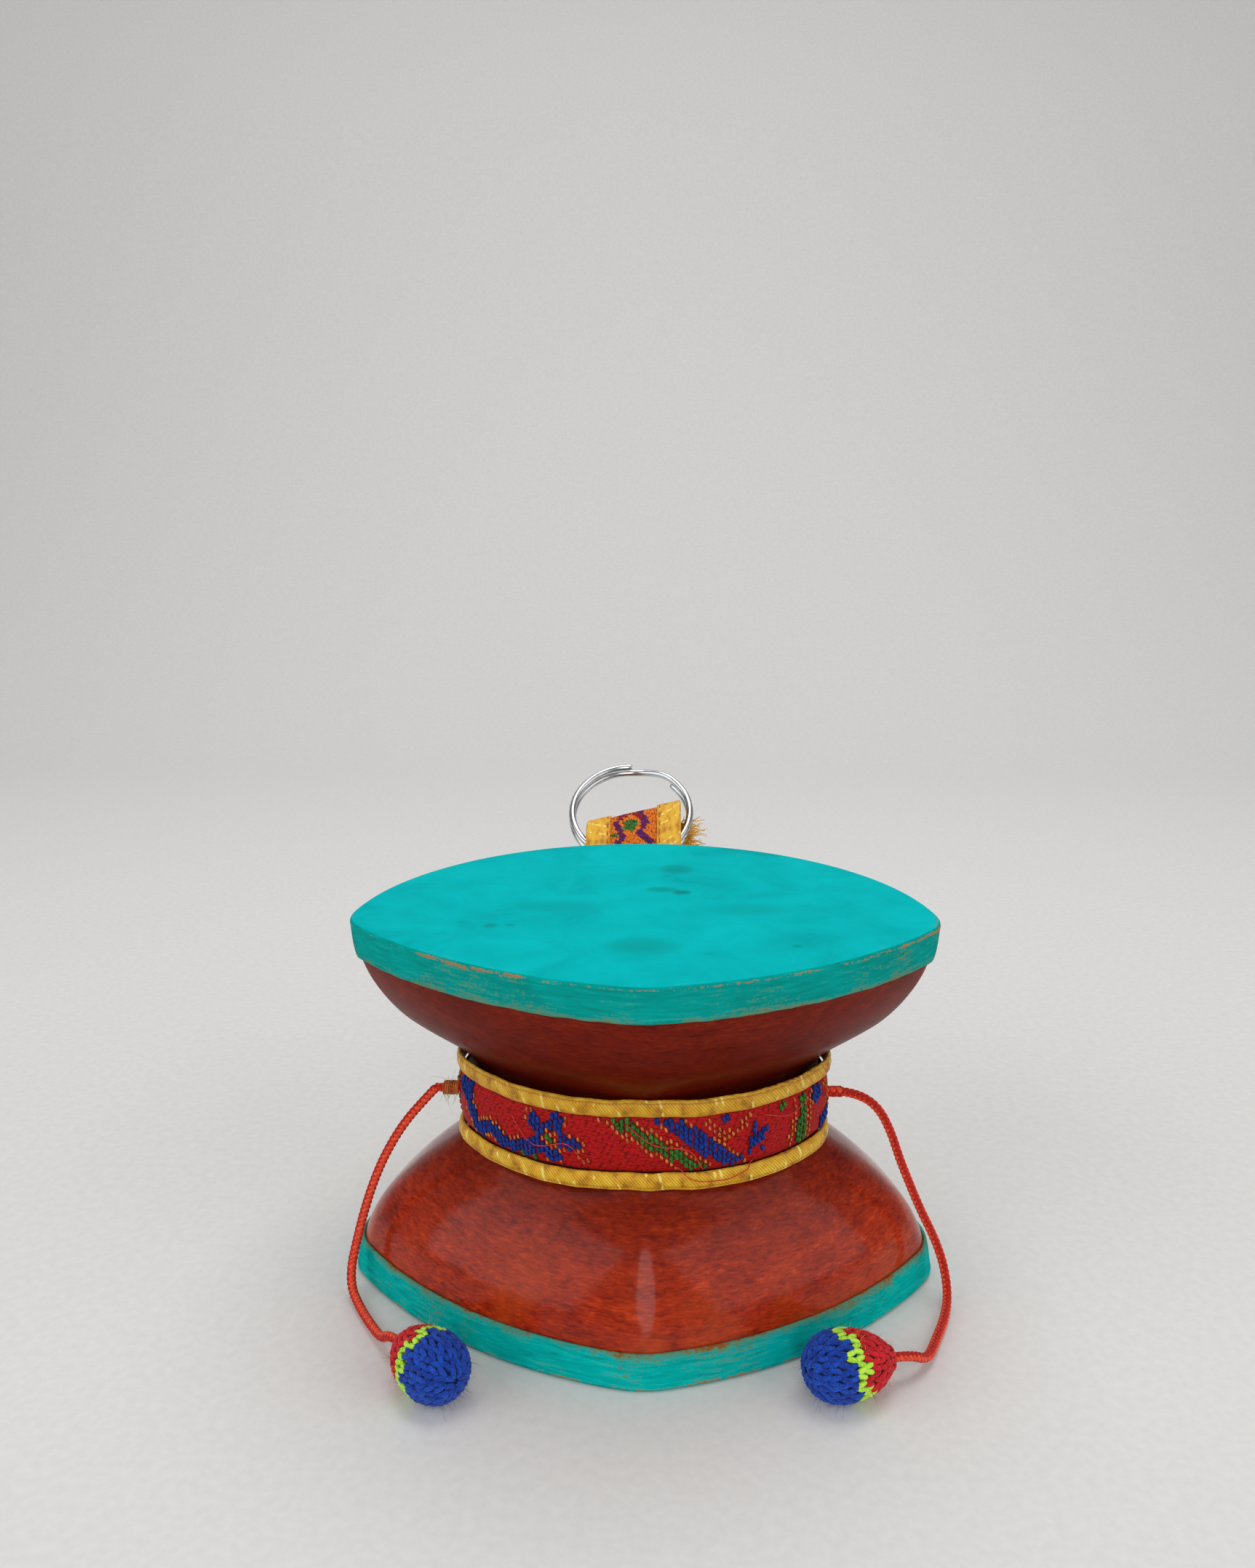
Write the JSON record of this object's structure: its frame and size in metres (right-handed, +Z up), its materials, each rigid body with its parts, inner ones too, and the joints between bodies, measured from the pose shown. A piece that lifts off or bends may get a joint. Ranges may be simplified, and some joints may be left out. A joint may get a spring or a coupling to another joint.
{
  "type": "damaru hand drum",
  "caption": "Two-headed hourglass hand drum with a ridged wooden body, painted skins, brocade waist belt, corded beaters and a ring strap.",
  "frame": {"origin": "centre of the lower head's flat face, on the floor", "axes": "+Z up through both heads, +Y from the front ridge towards the round back and the strap, +X to the drum's right"},
  "size_m": [0.1277, 0.1408, 0.0937],
  "materials": {
    "lacquered_wood": "glossy lacquer",
    "plain_wood": "bare",
    "painted_skin": "matte paint",
    "red_cord": "braided",
    "cotton_padding": "loose",
    "crimson_brocade": "woven",
    "gold_satin": "satin",
    "orange_thread": "frayed",
    "orange_brocade": "woven",
    "yellow_satin": "satin",
    "yellow_thread": "frayed",
    "red_yarn": "crocheted",
    "lime_yarn": "crocheted",
    "blue_yarn": "crocheted",
    "ring_steel": "polished"
  },
  "bodies": {
    "drum": {"lower_shell": "lacquered_wood", "upper_shell": "lacquered_wood", "waist_peg": "plain_wood", "lower_head": "painted_skin", "upper_head": "painted_skin", "waist_cord": "red_cord", "belt_padding": "cotton_padding", "belt_brocade": "crimson_brocade", "belt_lower_binding": "gold_satin", "belt_upper_binding": "gold_satin", "left_cord_root": "red_cord", "right_cord_root": "red_cord", "left_cord_whipping": "orange_thread", "strap_tab": "orange_brocade"},
    "left_striker": {"left_cord": "red_cord", "left_beater_bead": "plain_wood", "left_beater_red_yarn": "red_yarn", "left_beater_lime_yarn": "lime_yarn", "left_beater_blue_yarn": "blue_yarn", "left_beater_end_knot": "red_cord"},
    "right_striker": {"right_cord": "red_cord", "right_beater_bead": "plain_wood", "right_beater_red_yarn": "red_yarn", "right_beater_lime_yarn": "lime_yarn", "right_beater_blue_yarn": "blue_yarn", "right_beater_end_knot": "red_cord"},
    "strap": {"strap_brocade": "orange_brocade", "strap_left_tape": "yellow_satin", "strap_right_tape": "yellow_satin", "strap_frayed_threads": "yellow_thread"},
    "ring": {"split_ring": "ring_steel"}
  },
  "joints": [
    {"name": "left_striker_swing", "type": "hinge", "parent": "drum", "child": "left_striker", "pos_m": [-0.0437, 0, 0.0431], "axis": [0, 1, 0], "range_deg": [0, 85]},
    {"name": "right_striker_swing", "type": "hinge", "parent": "drum", "child": "right_striker", "pos_m": [0.0414, 0, 0.0431], "axis": [0, -1, 0], "range_deg": [0, 85]},
    {"name": "strap_swing", "type": "hinge", "parent": "drum", "child": "strap", "pos_m": [-0.0034, 0.0412, 0.0508], "axis": [-1, 0, 0], "range_deg": [0, 80]},
    {"name": "ring_turn", "type": "hinge", "parent": "strap", "child": "ring", "pos_m": [-0.0042, 0.0787, 0.08284], "axis": [0, -0.5948, 0.8039], "continuous": true}
  ]
}
